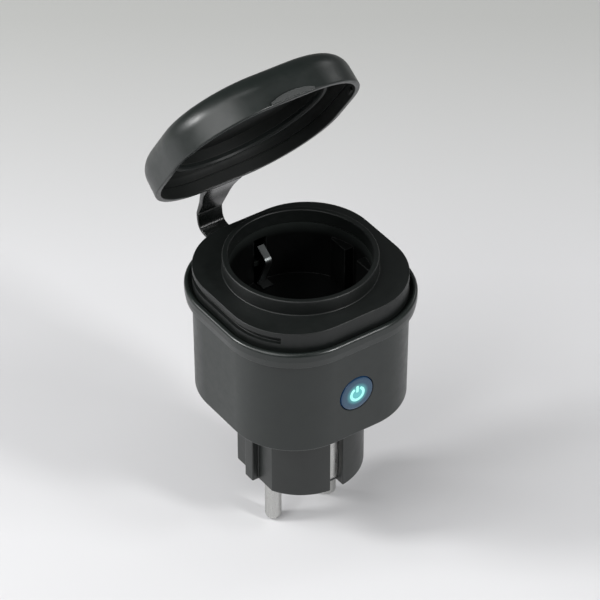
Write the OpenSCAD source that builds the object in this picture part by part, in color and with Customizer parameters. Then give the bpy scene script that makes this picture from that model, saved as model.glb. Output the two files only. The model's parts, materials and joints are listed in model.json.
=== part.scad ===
// Outdoor smart plug: earthed plug below, switched earthed socket under a strap-hinged lid above.
// The plug's engagement face is z = 0, its pins point down, and the button faces the front, -Y.

/* [Plug] */
// Radius of the round plug core
core_r = 17.9; // [17.5:0.1:18.2]
// Height from the plug's engagement face to the underside of the housing
core_h = 26.1; // [24:0.1:28]
// Distance from the axis to the two side flats of the core
core_flat = 15.75; // [15:0.05:16.5]
// Pin radius
pin_r = 2.4; // [2.3:0.05:2.4]
// Distance between the two pins
pin_pitch = 19; // [18.9:0.1:19.1]
// Length of pin below the engagement face
pin_len = 19; // [18.5:0.1:19.5]

/* [Housing] */
// Width across the lower housing at its underside
housing_w = 53.6; // [53:0.1:54]
// Width across the lower housing at the seam
seam_w = 54.2; // [54:0.1:54.6]
// Height of the seam between the housing and the rim band
seam_z = 57.1; // [56:0.1:58]
// Wall thickness of the housing
wall = 2; // [1.6:0.1:2.2]
// Height of the crest of the rim band
band_top = 62; // [61.6:0.1:62.3]
// Width across the rim band
band_w = 58.4; // [57.8:0.1:59]

/* [Socket] */
// Height of the flat top of the cover
cover_top = 67.4; // [67:0.1:68]
// Height of the top of the round collar
collar_top = 71.9; // [71:0.1:72.5]
// Inner radius of the collar and of the socket cup
recess_r = 19.9; // [19.8:0.05:20]
// Outer radius of the collar
collar_r = 21.55; // [21.4:0.05:21.7]
// Height of the socket floor
floor_z = 50; // [49.5:0.1:50.5]

/* [Button] */
// Radius of the button
button_r = 5.3; // [5:0.1:5.5]
// Height of the button's centre
button_z = 40.7; // [40:0.1:42]
// Travel of the button
button_travel = 0.5; // [0.3:0.05:0.6]

/* [Lid] */
// Width across the lid at its rim
lid_w = 59.46; // [59:0.02:60]
// Height of the lid from its rim to its top
lid_h = 11.5; // [11.2:0.1:12]
// Radius of the lid's top edge
lid_edge_r = 6.1; // [5:0.1:6.5]
// Angle that the lid stands open, measured from closed
lid_open = 55.25; // [50:0.25:60]

/* [Hidden] */
$fn = 96;
eps = 0.01;
gap = 0.05;
pin_x = pin_pitch / 2;
shank_r = pin_r + 0.3;
charcoal = "#3a3d3e";
near_black = "#1d1f1f";
nickel = "#b9bab7";
brass = "#c9a35a";
board_green = "#1f5a3a";

// Half spacing of the corner centres, for each rounded square plan
housing_c = 7.2;
cover_c = 6.9;
band_c = 7.4;
lid_c = 5.85;

// Housing
housing_r = housing_w / 2 - housing_c;
seam_r = seam_w / 2 - housing_c;
housing_draft = atan((seam_r - housing_r) / (seam_z - core_h));
floor_top = core_h + wall;
flange_top = floor_top + 2;
post_at = 17.2;
post_r = 2.5;
boss_r = 3.6;
screw_r = 1.45;
screw_hole_r = 1.5;
screw_head_r = 2.8;
screw_head_z = 27.2;
screw_seat_z = 29;
screw_tip_z = 45;

// Cover, band and seal
cover_w = 54.17;
cover_r = cover_w / 2 - cover_c;
cover_wall = 2.2;
cover_under = cover_top - 2.4;
step_z = 60.1;
step_in = 0.85;
seal_h = 1;
notch_low = 63.9;
notch_high = 65.8;
notch_depth = 0.8;
notch_end = 21.6;
flare_r = 1;

// Socket cup and what mates with a plug
cup_r = 20.85;
cup_top = 67.5;
cup_floor = 2;
cup_flange_r = 21.6;
guide_x = 16.8;
guide_half_y = 9.7;
guide_top = 63.9;
guide_slot = 5.6;
clip_slot = 4.1;
clip_slot_top = 64.6;
socket_hole_r = 2.75;
clip_w = 2.4;
clip_t = 0.6;

// Shutter under the socket floor
shutter_hole_r = 2.1;
shutter_axle_r = 2;
shutter_high = floor_z - cup_floor - 0.2;
shutter_t = 1.5;
shutter_half_w = 3.4;
shutter_len = 27;
axle_low = 42.6;

// Boards and the parts on them
board_low = 31;
board_t = 1.6;
board_top = board_low + board_t;
board_r = housing_r - wall - 0.6;
radio_x = 22.3;
radio_t = 0.8;

// Button group, measured along the button's own axis from the outside of the wall
button_y = housing_w / 2 + (seam_w - housing_w) / 2 * (button_z - core_h) / (seam_z - core_h);
button_bore_r = button_r + 0.2;
button_proud = 0.2;
button_flange_r = 6.4;
button_board_back = 6.5;
plunger_r = 1.2;

// Lid and strap
rim_z = 62.9;
lid_wall = 1.85;
lid_r = lid_w / 2 - lid_c;
lid_draft = 0.03;
pivot_y = 42.9;
pivot_z = 60.7;
strap_w = 8.3;
strap_t = 0.9;

// ---- Shared shapes ----

// A solid with a rounded square plan: its section is drawn as outward distance and height,
// measured from the corner centres, and it reaches in to the axis
module rounded_block(c, low, high) {
    rounded_ring(c) children();
    translate([-c, -c, low])
        cube([2 * c, 2 * c, high - low]);
}

// The same for a section that stands clear of the corner centres
module rounded_ring(c) {
    for (turn = [0 : 90 : 270]) {
        rotate(turn)
            translate([c, c, 0])
                rotate_extrude(angle = 90)
                    children();
        rotate(turn)
            translate([c, c, 0])
                rotate([90, 0, 0])
                    linear_extrude(2 * c)
                        children();
    }
}

// A rounded square prism with straight or drafted walls
module drafted_block(c, low_r, high_r, low, high) {
    rounded_block(c, low, high)
        polygon([[0, low], [low_r, low], [high_r, high], [0, high]]);
}

// A tube
module tube(outer, inner, low, high) {
    translate([0, 0, low])
        difference() {
            cylinder(r = outer, h = high - low);
            translate([0, 0, -1])
                cylinder(r = inner, h = high - low + 2);
        }
}

// Unit vector
function unit(v) = v / norm(v);

// Point beside the k-th point of a bent line, so far off it that the bend is mitred
function beside(points, k, off) =
    let (
        last = len(points) - 1,
        before = unit(points[max(k, 1)] - points[max(k, 1) - 1]),
        after = unit(points[min(k, last - 1) + 1] - points[min(k, last - 1)]),
        middle = unit(before + after)
    )
    points[k] + [-middle[1], middle[0]] * off / (middle * before);

// A strip of constant thickness bent through the given points, which are [y, z], and of width w along X
module bent_strip(points, t, w) {
    last = len(points) - 1;
    outline = concat(
        [for (k = [0 : last]) beside(points, k, t / 2)],
        [for (k = [last : -1 : 0]) beside(points, k, -t / 2)]
    );
    translate([-w / 2, 0, 0])
        rotate([90, 0, 90])
            linear_extrude(w)
                polygon(outline);
}

// Four copies at the case screws
module at_screws() {
    for (x = [-post_at, post_at], y = [-post_at, post_at])
        translate([x, y, 0])
            children();
}

// Front and back, or left and right copies
module front_and_back() {
    for (turn = [0, 180])
        rotate(turn)
            children();
}

// Local frame of the button: +Z points out of the front wall
module at_button() {
    translate([0, -button_y, button_z])
        rotate([90 + housing_draft, 0, 0])
            children();
}

// Turns the lid from closed to where it stands open
module at_lid() {
    translate([0, pivot_y, pivot_z])
        rotate([-lid_open, 0, 0])
            translate([0, -pivot_y, -pivot_z])
                children();
}

// ---- Case ----

module lower_housing() {
    edge = 0.4;
    slot_z = 53.95;
    color(charcoal)
        difference() {
            union() {
                difference() {
                    rounded_block(housing_c, core_h, seam_z)
                        polygon([
                            [0, core_h], [housing_r - edge, core_h], [housing_r, core_h + edge],
                            [seam_r, seam_z], [0, seam_z]
                        ]);
                    drafted_block(housing_c, housing_r - wall, seam_r - wall, floor_top, seam_z + 1);
                }
                at_screws()
                    translate([0, 0, core_h])
                        cylinder(r = boss_r, h = board_low - core_h);
            }
            // opening for the plug core
            translate([0, 0, core_h - 1])
                cylinder(r = core_r + gap, h = wall + 2);
            at_screws() {
                translate([0, 0, core_h - 1])
                    cylinder(r = screw_head_r + 0.3, h = screw_seat_z - core_h + 1);
                translate([0, 0, core_h])
                    cylinder(r = screw_r + 0.2, h = board_low - core_h + 1);
            }
            // bore for the button
            at_button()
                translate([0, 0, -wall - 1])
                    cylinder(r = button_bore_r, h = wall + 2);
            // slot for the lid strap
            translate([-strap_w / 2 - 0.1, seam_w / 2 - wall - 1.5, slot_z - strap_t / 2 - 0.1])
                cube([strap_w + 0.2, wall + 3, strap_t + 0.2]);
        }
}

module rim_band() {
    low_r = 21.4;
    high_r = band_w / 2 - band_c;
    fillet = 1;
    swell_z = 59.5;
    groove_r = 19.6;
    groove_z = band_top - 1;
    color(charcoal)
        difference() {
            rounded_block(band_c, seam_z, groove_z)
                union() {
                    polygon([
                        [0, seam_z], [low_r, seam_z], [high_r, swell_z], [high_r, band_top - fillet],
                        [high_r - fillet, band_top - fillet], [high_r - fillet, band_top],
                        [groove_r, groove_z], [0, groove_z]
                    ]);
                    translate([high_r - fillet, band_top - fillet])
                        circle(r = fillet, $fn = 48);
                }
            drafted_block(cover_c, cover_r + gap, cover_r + gap, step_z, band_top + 1);
            drafted_block(cover_c, cover_r - step_in + gap, cover_r - step_in + gap, seam_z - 1, step_z + 1);
        }
}

module upper_cover() {
    inner_r = cover_r - cover_wall;
    wall_low = seam_z + seal_h;
    edge = 0.35;
    color(near_black)
        difference() {
            union() {
                difference() {
                    rounded_block(cover_c, wall_low, cover_top)
                        polygon([
                            [0, wall_low], [cover_r - step_in, wall_low], [cover_r - step_in, step_z],
                            [cover_r, step_z], [cover_r, cover_top - edge],
                            [cover_r - edge, cover_top], [0, cover_top]
                        ]);
                    drafted_block(cover_c, inner_r, inner_r, wall_low - 1, cover_under);
                }
                translate([0, 0, cover_top - eps])
                    rotate_extrude()
                        union() {
                            polygon([
                                [recess_r - 2, 0], [collar_r, 0], [collar_r, collar_top - cover_top - edge],
                                [collar_r - edge, collar_top - cover_top], [recess_r - 2, collar_top - cover_top]
                            ]);
                            difference() {
                                translate([collar_r - eps, 0])
                                    square(flare_r + eps);
                                translate([collar_r + flare_r, flare_r])
                                    circle(r = flare_r, $fn = 48);
                            }
                        }
                at_screws()
                    translate([0, 0, board_top])
                        cylinder(r = post_r, h = cover_top - 1 - board_top);
            }
            // recess through the collar, wider below it to take the socket cup
            translate([0, 0, cover_under - 1])
                cylinder(r = recess_r, h = collar_top);
            translate([0, 0, cover_under - 1])
                cylinder(r = cup_r + gap, h = cup_top - cover_under + 1);
            at_screws()
                translate([0, 0, board_top - 1])
                    cylinder(r = screw_hole_r, h = screw_tip_z + 1 - board_top + 1);
            // snap grooves along both sides
            for (side = [0, 180])
                rotate(side)
                    intersection() {
                        rounded_ring(cover_c)
                            polygon([
                                [cover_r + 1, notch_low], [cover_r - notch_depth, notch_low],
                                [cover_r, notch_high], [cover_r + 1, notch_high]
                            ]);
                        translate([15, -notch_end, notch_low - 1])
                            cube([20, 2 * notch_end, 5]);
                    }
        }
}

module housing_seal() {
    outer_r = cover_r - step_in - gap;
    color(near_black)
        rounded_ring(cover_c)
            polygon([
                [outer_r - 1.3, seam_z], [outer_r, seam_z],
                [outer_r, seam_z + seal_h], [outer_r - 1.3, seam_z + seal_h]
            ]);
}

module case_screws() {
    color(nickel)
        at_screws() {
            difference() {
                translate([0, 0, screw_head_z])
                    cylinder(r = screw_head_r, h = screw_seat_z - screw_head_z);
                for (turn = [0, 90])
                    rotate(turn)
                        translate([-1.7, -0.3, screw_head_z - 1])
                            cube([3.4, 0.6, 1.8]);
            }
            translate([0, 0, screw_seat_z - eps])
                cylinder(r = screw_r, h = screw_tip_z - screw_seat_z);
        }
}

// ---- Plug ----

module plug_core() {
    rib_x = 17.84;
    rib_w = 3.8;
    groove_w = 4.1;
    groove_y = 14.55;
    flange_r = 20.5;
    cavity_r = 12.8;
    boss_at_pin_r = 4.4;
    boss_at_pin_h = 9;
    cavity_low = 5;
    color(charcoal)
        difference() {
            union() {
                intersection() {
                    cylinder(r = core_r, h = core_h);
                    union() {
                        translate([-core_flat, -core_r, 0])
                            cube([2 * core_flat, 2 * core_r, core_h]);
                        translate([-rib_x, -rib_w / 2, 0])
                            cube([2 * rib_x, rib_w, core_h]);
                    }
                }
                translate([0, 0, core_h - eps])
                    cylinder(r = core_r, h = wall + 2 * eps);
                translate([0, 0, floor_top])
                    cylinder(r = flange_r, h = flange_top - floor_top);
            }
            difference() {
                translate([0, 0, cavity_low])
                    cylinder(r = cavity_r, h = flange_top);
                for (x = [-pin_x, pin_x])
                    translate([x, 0, 0])
                        cylinder(r = boss_at_pin_r, h = boss_at_pin_h);
            }
            for (x = [-pin_x, pin_x])
                translate([x, 0, -1])
                    cylinder(r = shank_r + gap, h = 12);
            // grooves of the earth strips
            front_and_back()
                translate([-groove_w / 2, -core_r - 1, -1])
                    cube([groove_w, core_r + 1 - groove_y, flange_top + 2]);
        }
}

module plug_pin(x) {
    head_r = 3;
    head_low = 9;
    head_h = 1.4;
    color(nickel)
        translate([x, 0, 0]) {
            translate([0, 0, pin_r - pin_len])
                cylinder(r = pin_r, h = pin_len - pin_r + eps);
            translate([0, 0, pin_r - pin_len])
                sphere(r = pin_r);
            cylinder(r = shank_r, h = head_low + eps);
            translate([0, 0, head_low])
                cylinder(r = head_r, h = head_h);
        }
}

module pin_left() {
    plug_pin(-pin_x);
}

module pin_right() {
    plug_pin(pin_x);
}

module plug_earth_strips() {
    strip_y = 14.98;
    color(nickel)
        front_and_back()
            bent_strip([[-strip_y, 1.3], [-strip_y, flange_top + 0.3]], 0.85, 4);
}

module earth_bus() {
    low = flange_top;
    riser = [[-15.4, low + 0.3], [-16.8, low + 1], [-16.8, 40], [-18.75, 42.6], [-18.75, 45.5]];
    color(brass) {
        tube(17.4, 15.5, low, low + 0.6);
        front_and_back()
            bent_strip(riser, 0.6, clip_w);
    }
}

// ---- Socket ----

module socket_cup() {
    color(near_black)
        difference() {
            union() {
                tube(cup_r, recess_r, floor_z - cup_floor, cup_top);
                translate([0, 0, floor_z - cup_floor])
                    cylinder(r = recess_r + 0.5, h = cup_floor);
                tube(cup_flange_r, recess_r + 0.2, cover_under - 1.3, cover_under - gap);
                // guide blocks for the flats of a plug
                intersection() {
                    translate([0, 0, floor_z - eps])
                        cylinder(r = recess_r + 0.5, h = guide_top - floor_z);
                    difference() {
                        translate([-30, -guide_half_y, 0])
                            cube([60, 2 * guide_half_y, 100]);
                        translate([-guide_x, -30, 0])
                            cube([2 * guide_x, 60, 100]);
                        translate([-recess_r + 0.6, -guide_slot / 2, 0])
                            cube([2 * recess_r - 1.2, guide_slot, 100]);
                    }
                }
                // axle of the shutter
                translate([0, 0, axle_low])
                    cylinder(r = shutter_axle_r, h = floor_z - axle_low - 1);
            }
            for (x = [-pin_x, pin_x])
                translate([x, 0, floor_z - cup_floor - 1])
                    cylinder(r = socket_hole_r, h = cup_floor + 2);
            // slots of the earth clips, through the wall and the edge of the floor
            front_and_back()
                translate([-clip_slot / 2, -cup_r - 1, floor_z - cup_floor - 1])
                    cube([clip_slot, cup_r + 1 - 18.2, clip_slot_top - floor_z + cup_floor + 1]);
        }
}

module earth_clips() {
    path = [[-19.7, 62.3], [-15.3, 59.4], [-19.4, 50], [-19.4, 43]];
    foot_w = 3.4;
    foot_t = 0.35;
    foot_near = 15.7;
    foot_far = 19.15;
    color(brass)
        front_and_back() {
            bent_strip(path, clip_t, clip_w);
            // foot that lies on the socket floor
            translate([-foot_w / 2, -foot_far, floor_z + 0.02])
                cube([foot_w, foot_far - foot_near, foot_t]);
        }
}

module pin_contact(x) {
    sleeve_r = 3.2;
    sleeve_low = 35;
    sleeve_high = 45.4;
    slit_w = 0.8;
    tail_w = 3;
    neck_h = 1.5;
    side = x > 0 ? 1 : -1;
    color(brass)
        translate([x, 0, 0]) {
            difference() {
                tube(sleeve_r, pin_r + gap, sleeve_low, sleeve_high);
                translate([-slit_w / 2, -sleeve_r - 1, sleeve_low + 2])
                    cube([slit_w, 2 * sleeve_r + 2, sleeve_high]);
            }
            // tail that is soldered into the board
            translate([side * (sleeve_r + 0.75) - 0.5, -tail_w / 2, board_low])
                cube([1, tail_w, sleeve_low + neck_h - board_low]);
            translate([side * (sleeve_r + 0.1) - 0.75, -tail_w / 2, sleeve_low])
                cube([1.5, tail_w, neck_h]);
        }
}

module contact_left() {
    pin_contact(-pin_x);
}

module contact_right() {
    pin_contact(pin_x);
}

// Two blades that cover the pin holes; a plug's pins push on the slopes and turn them aside
module shutter() {
    low = shutter_high - shutter_t;
    hub_r = 4.2;
    hub_drop = 0.8;
    slope_from = 6;
    slope_tilt = 30;
    color(near_black)
        difference() {
            union() {
                translate([-shutter_len / 2, -shutter_half_w, low])
                    cube([shutter_len, 2 * shutter_half_w, shutter_t]);
                translate([0, 0, low - hub_drop])
                    cylinder(r = hub_r, h = shutter_t + hub_drop);
            }
            translate([0, 0, low - 2])
                cylinder(r = shutter_hole_r, h = 6);
            front_and_back()
                translate([slope_from, -shutter_half_w, shutter_high])
                    rotate([-slope_tilt, 0, 0])
                        translate([0, -2, -0.8])
                            cube([20, 3.2, 3]);
        }
}

module shutter_spring() {
    wire_r = 0.2;
    coil_r = 3;
    turns = 3;
    steps = 24;
    sides = 6;
    low = 43.6;
    pitch = 0.5;
    function ring_point(k, s) =
        let (a = 360 * k / steps, b = 360 * s / sides)
        [
            (coil_r + wire_r * cos(b)) * cos(a),
            (coil_r + wire_r * cos(b)) * sin(a),
            low + pitch * a / 360 + wire_r * sin(b)
        ];
    count = turns * steps;
    points = [for (k = [0 : count], s = [0 : sides - 1]) ring_point(k, s)];
    walls = [
        for (k = [0 : count - 1], s = [0 : sides - 1])
            [
                k * sides + s, k * sides + (s + 1) % sides,
                (k + 1) * sides + (s + 1) % sides, (k + 1) * sides + s
            ]
    ];
    first = [[for (s = [sides - 1 : -1 : 0]) s]];
    last = [[for (s = [0 : sides - 1]) count * sides + s]];
    color(nickel)
        polyhedron(points = points, faces = concat(walls, first, last), convexity = 8);
}

// Push-on washer that holds the spring and the shutter on their axle
module shutter_washer() {
    color(nickel)
        tube(3.5, shutter_axle_r + gap, axle_low + 0.2, axle_low + 0.7);
}

// ---- Electronics ----

module supply_wires() {
    wire_r = 1;
    path = [[pin_x, 10.4], [pin_x, 18], [4.8, 26], [4.8, 30.9]];
    color("#7a3b2a")
        front_and_back()
            for (k = [0 : len(path) - 2]) {
                step = path[k + 1] - path[k];
                translate([path[k][0], 0, path[k][1]])
                    rotate([0, atan2(step[0], step[1]), 0])
                        cylinder(r = wire_r, h = norm(step), $fn = 32);
                if (k > 0)
                    translate([path[k][0], 0, path[k][1]])
                        sphere(r = wire_r + gap, $fn = 32);
            }
}

module main_board() {
    supply_hole_r = 2.9;
    color(board_green)
        difference() {
            drafted_block(housing_c, board_r, board_r, board_low, board_top);
            at_screws()
                translate([0, 0, board_low - 1])
                    cylinder(r = screw_r + 0.2, h = board_t + 2);
            for (x = [-pin_x, pin_x])
                translate([x, 0, board_low - 1])
                    cylinder(r = supply_hole_r, h = board_t + 2);
            front_and_back() {
                // way through for the earth risers
                translate([-2.2, -17.8, board_low - 1])
                    cube([4.4, 2, board_t + 2]);
                // holes of the contact tails
                translate([pin_x + 3.35, -1.6, board_low - 1])
                    cube([1.2, 3.2, board_t + 2]);
            }
        }
}

module relay() {
    at = [-13.2, 6.8, board_top];
    size = [10.2, 15.5, 12.4];
    border = 0.6;
    sunk = 0.3;
    color("#2b5fa8")
        translate(at)
            difference() {
                cube(size);
                translate([border, border, size[2] - sunk])
                    cube([size[0] - 2 * border, size[1] - 2 * border, 1]);
            }
}

module transformer() {
    at = [3.2, 8, board_top];
    flange = [10, 12];
    inset = 1;
    low_t = 2;
    winding_h = 7;
    high_t = 1.2;
    color("#d8b04a")
        translate(at) {
            cube([flange[0], flange[1], low_t]);
            translate([0, 0, low_t + winding_h])
                cube([flange[0], flange[1], high_t]);
            translate([inset, inset, low_t])
                cube([flange[0] - 2 * inset, flange[1] - 2 * inset, winding_h]);
        }
}

module capacitors() {
    // x, y, radius and height of each can
    cans = [[7.6, -11.5, 4, 11], [14.6, -8.6, 2.5, 9]];
    color("#20262e")
        for (can = cans)
            translate([can[0], can[1], board_top])
                cylinder(r = can[2], h = can[3]);
}

module film_capacitor() {
    color("#d9c23b")
        translate([-14, -19.4, board_top])
            cube([5, 13, 11]);
}

module varistor() {
    color("#2f6ea5")
        translate([-6.4, -12, board_top + 5])
            rotate([0, 90, 0])
                cylinder(r = 4.2, h = 3.4);
}

module fuse() {
    color("#d8d2c4")
        translate([-18.6, 5, board_top + 1.7])
            rotate([90, 0, 0])
                cylinder(r = 1.7, h = 10);
}

module wifi_module() {
    color("#20466e")
        translate([radio_x, -8, board_top])
            cube([radio_t, 16, 20]);
}

module wifi_shield() {
    can = [1.6, 12, 11];
    skin = 0.3;
    color(nickel)
        translate([radio_x + radio_t, -can[1] / 2, board_top + 2])
            difference() {
                cube(can);
                translate([-1, skin, skin])
                    cube([can[0] + 1 - skin, can[1] - 2 * skin, can[2] - 2 * skin]);
            }
}

module button_board() {
    color(board_green)
        at_button()
            translate([-8, -7, -button_board_back])
                cube([16, 14, 1]);
}

module tact_switch() {
    front = 1 - button_board_back;
    body_w = 5;
    body_h = 1.4;
    color("#303236")
        at_button()
            difference() {
                translate([-body_w / 2, -body_w / 2, front])
                    cube([body_w, body_w, body_h]);
                translate([0, 0, front + 0.2])
                    cylinder(r = plunger_r + 0.1, h = body_h);
            }
}

// Moves with the button and slides in the switch
module switch_plunger() {
    color("#8a2f28")
        at_button()
            translate([0, 0, 1.8 - button_board_back])
                cylinder(r = plunger_r, h = 1.1);
}

module leds() {
    color("#e9f4f4")
        at_button()
            for (x = [-4.2, 4.2])
                translate([x - 0.8, -0.4, 1 - button_board_back])
                    cube([1.6, 0.8, 0.7]);
}

module light_guide() {
    color([0.85, 0.93, 0.95, 0.6])
        at_button()
            tube(5.2, 3.8, 1.9 - button_board_back, -3.1 - button_travel);
}

module button_cap() {
    recess = 0.3;
    color("#123a52")
        at_button()
            difference() {
                union() {
                    translate([0, 0, -wall - 0.9])
                        cylinder(r = button_r, h = wall + 0.9 + button_proud);
                    translate([0, 0, -wall - 0.9])
                        cylinder(r = button_flange_r, h = 0.8);
                    translate([0, 0, 2.95 - button_board_back])
                        cylinder(r = 1.6, h = 2);
                }
                translate([0, 0, button_proud - recess])
                    icon(gap);
            }
}

// A ring open at the top with a bar in the opening, grown by the given clearance
module icon(grow) {
    ring_out = 2.45;
    ring_in = 1.6;
    opening_w = 2.1;
    bar_w = 0.8;
    bar_low = 0.5;
    bar_h = 2.3;
    difference() {
        cylinder(r = ring_out + grow, h = 1);
        translate([0, 0, -1])
            cylinder(r = ring_in - grow, h = 3);
        translate([grow - opening_w / 2, 0, -1])
            cube([opening_w - 2 * grow, 4, 3]);
    }
    translate([-bar_w / 2 - grow, bar_low - grow, 0])
        cube([bar_w + 2 * grow, bar_h + 2 * grow, 1]);
}

module power_icon() {
    color("#35c9d6")
        at_button()
            intersection() {
                translate([0, 0, button_proud - 0.3])
                    icon(0);
                translate([-5, -5, button_proud - 1])
                    cube([10, 10, 1]);
            }
}

// ---- Lid and strap ----

// Half section of the lid's outside, pulled in by the given amount
module lid_section(inset) {
    top = lid_h - inset;
    fillet = lid_edge_r - inset;
    bend = top - fillet;
    low_r = lid_r - inset;
    high_r = low_r - lid_draft * bend;
    translate([0, rim_z]) {
        polygon([[0, 0], [low_r, 0], [high_r, bend], [0, bend]]);
        translate([0, bend - eps])
            square([high_r - fillet, fillet + eps]);
        translate([high_r - fillet, bend])
            intersection() {
                circle(r = fillet);
                translate([-eps, -eps])
                    square(fillet + eps);
            }
    }
}

module lid_shell() {
    rib_in = 22.9;
    rib_out = 23.9;
    rib_low = 6.6;
    lip_half = 6.9;
    lip_high = 2.1;
    lip_bow = 20;
    catch_in = lid_r - lid_wall - 0.2;
    catch_from = -13;
    catch_turn = 10;
    color(charcoal)
        at_lid() {
            difference() {
                rounded_block(lid_c, rim_z, rim_z + lid_h)
                    lid_section(0);
                difference() {
                    rounded_block(lid_c, rim_z, rim_z + lid_h - lid_wall)
                        lid_section(lid_wall);
                    tube(rib_out, rib_in, rim_z + rib_low, rim_z + lid_h);
                    // snap catches
                    for (side = [0, 1])
                        mirror([side, 0, 0])
                            translate([lid_c, -lid_c, rim_z + 0.8])
                                rotate(catch_from)
                                    rotate_extrude(angle = catch_turn)
                                        translate([catch_in, 0])
                                            square([1.5, 1.4]);
                }
                translate([0, 0, rim_z - 1])
                    drafted_block(lid_c, lid_r - lid_wall, lid_r - lid_wall, 0, 1 + eps);
            }
            // thumb lip
            translate([0, -lid_w / 2 + 0.5, rim_z])
                rotate([90, 0, 0])
                    linear_extrude(1.5)
                        intersection() {
                            translate([0, lip_high - lip_bow])
                                circle(r = lip_bow);
                            translate([-lip_half, 0])
                                square([2 * lip_half, lip_high]);
                        }
        }
}

module lid_gasket() {
    color(near_black)
        at_lid()
            tube(24.1, 22.8, rim_z + 4.85, rim_z + 6.6 - eps);
}

module strap_lower() {
    path = [
        [22.9, 53.95], [41.6, 53.95], [43, 54.3], [44.2, 55.1], [44.9, 56.2], [45.15, 58]
    ];
    color(near_black) {
        bent_strip(path, strap_t, strap_w);
        // anchor bar behind the housing wall
        translate([-6, 22.2, 53.1])
            cube([12, 1.9, 1.7]);
    }
}

// The strap thickens and widens towards the lid
module strap_upper() {
    root_y = lid_w / 2 + 0.02;
    root_w = 11.9;
    bend_y = 41.3;
    tip_y = 44.9;
    color(near_black)
        at_lid()
            intersection() {
                // side view
                translate([-root_w, 0, 0])
                    rotate([90, 0, 90])
                        linear_extrude(2 * root_w)
                            polygon([
                                [root_y, rim_z], [35.3, 63.0], [bend_y, 62.85], [43.95, 61.9],
                                [44.4, 62.7], [bend_y, 63.75], [35.3, 64.2], [root_y, 64.8]
                            ]);
                // plan view
                translate([0, 0, rim_z - 5])
                    linear_extrude(10)
                        polygon([
                            [-root_w / 2, root_y], [root_w / 2, root_y], [strap_w / 2, bend_y],
                            [strap_w / 2, tip_y], [-strap_w / 2, tip_y], [-strap_w / 2, bend_y]
                        ]);
            }
}

lower_housing();
rim_band();
upper_cover();
socket_cup();
housing_seal();
plug_core();
pin_left();
pin_right();
plug_earth_strips();
earth_bus();
earth_clips();
contact_left();
contact_right();
shutter();
shutter_spring();
shutter_washer();
supply_wires();
main_board();
relay();
transformer();
capacitors();
film_capacitor();
varistor();
fuse();
wifi_module();
wifi_shield();
button_board();
tact_switch();
switch_plunger();
leds();
light_guide();
button_cap();
power_icon();
case_screws();
lid_shell();
lid_gasket();
strap_lower();
strap_upper();
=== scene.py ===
"""Looks of the outdoor smart plug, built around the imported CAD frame. Shapes are made in millimetres
in the row frame, and scaled to metres when a piece is placed on its body."""
import json
import math

import bmesh
import bpy
from mathutils import Matrix, Vector


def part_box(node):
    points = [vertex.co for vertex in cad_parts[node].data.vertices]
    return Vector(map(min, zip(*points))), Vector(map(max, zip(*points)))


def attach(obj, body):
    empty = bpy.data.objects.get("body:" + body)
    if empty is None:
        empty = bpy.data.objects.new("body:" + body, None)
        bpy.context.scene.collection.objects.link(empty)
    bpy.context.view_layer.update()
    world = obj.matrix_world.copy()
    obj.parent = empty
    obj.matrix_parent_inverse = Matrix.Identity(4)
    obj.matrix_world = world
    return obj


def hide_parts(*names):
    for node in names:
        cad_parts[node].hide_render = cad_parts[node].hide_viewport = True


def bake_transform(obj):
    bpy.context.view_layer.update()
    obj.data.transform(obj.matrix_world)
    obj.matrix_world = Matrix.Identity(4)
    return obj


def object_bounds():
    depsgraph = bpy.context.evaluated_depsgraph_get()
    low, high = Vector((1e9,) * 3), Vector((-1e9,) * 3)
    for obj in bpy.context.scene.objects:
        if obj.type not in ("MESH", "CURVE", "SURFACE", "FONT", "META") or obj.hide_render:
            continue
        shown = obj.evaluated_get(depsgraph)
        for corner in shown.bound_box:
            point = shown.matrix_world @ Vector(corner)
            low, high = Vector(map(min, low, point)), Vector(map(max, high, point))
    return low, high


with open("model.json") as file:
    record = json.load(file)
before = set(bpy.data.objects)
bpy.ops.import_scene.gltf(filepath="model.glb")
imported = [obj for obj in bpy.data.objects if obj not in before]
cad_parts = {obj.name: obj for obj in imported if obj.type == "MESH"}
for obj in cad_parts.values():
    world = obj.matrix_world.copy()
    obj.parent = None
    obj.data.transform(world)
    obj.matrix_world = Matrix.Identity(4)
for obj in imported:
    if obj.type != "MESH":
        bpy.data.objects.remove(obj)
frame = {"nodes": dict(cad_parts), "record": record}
cad_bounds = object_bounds()
MM = 0.001
SEG = 28                                  # steps in a quarter turn of a plan
PART_SEG = 16                             # the same on small round parts
HIDDEN_SEG = 12                           # and on the posts, bores and stem that are hardly seen


# ---- Measures read from the frame, in millimetres ----

def box(node):
    """Lowest and highest corners of a CAD node."""
    low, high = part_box(node)
    return low / MM, high / MM


def joint_record(name):
    """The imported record's entry for a joint."""
    for joint in frame["record"]["behaviour"]["joints"]:
        if joint["name"] == name:
            return joint
    raise KeyError(name)


house_low, house_high = box("lower_housing")
band_high = box("rim_band")[1]
cover_high = box("upper_cover")[1]
cup_high = box("socket_cup")[1]
pin_low, pin_high = box("pin_right")
hinge = joint_record("lid_hinge")
PIVOT = Vector(hinge["pos_m"]) / MM
OPEN = math.radians(-hinge["range_deg"][0])

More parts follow.
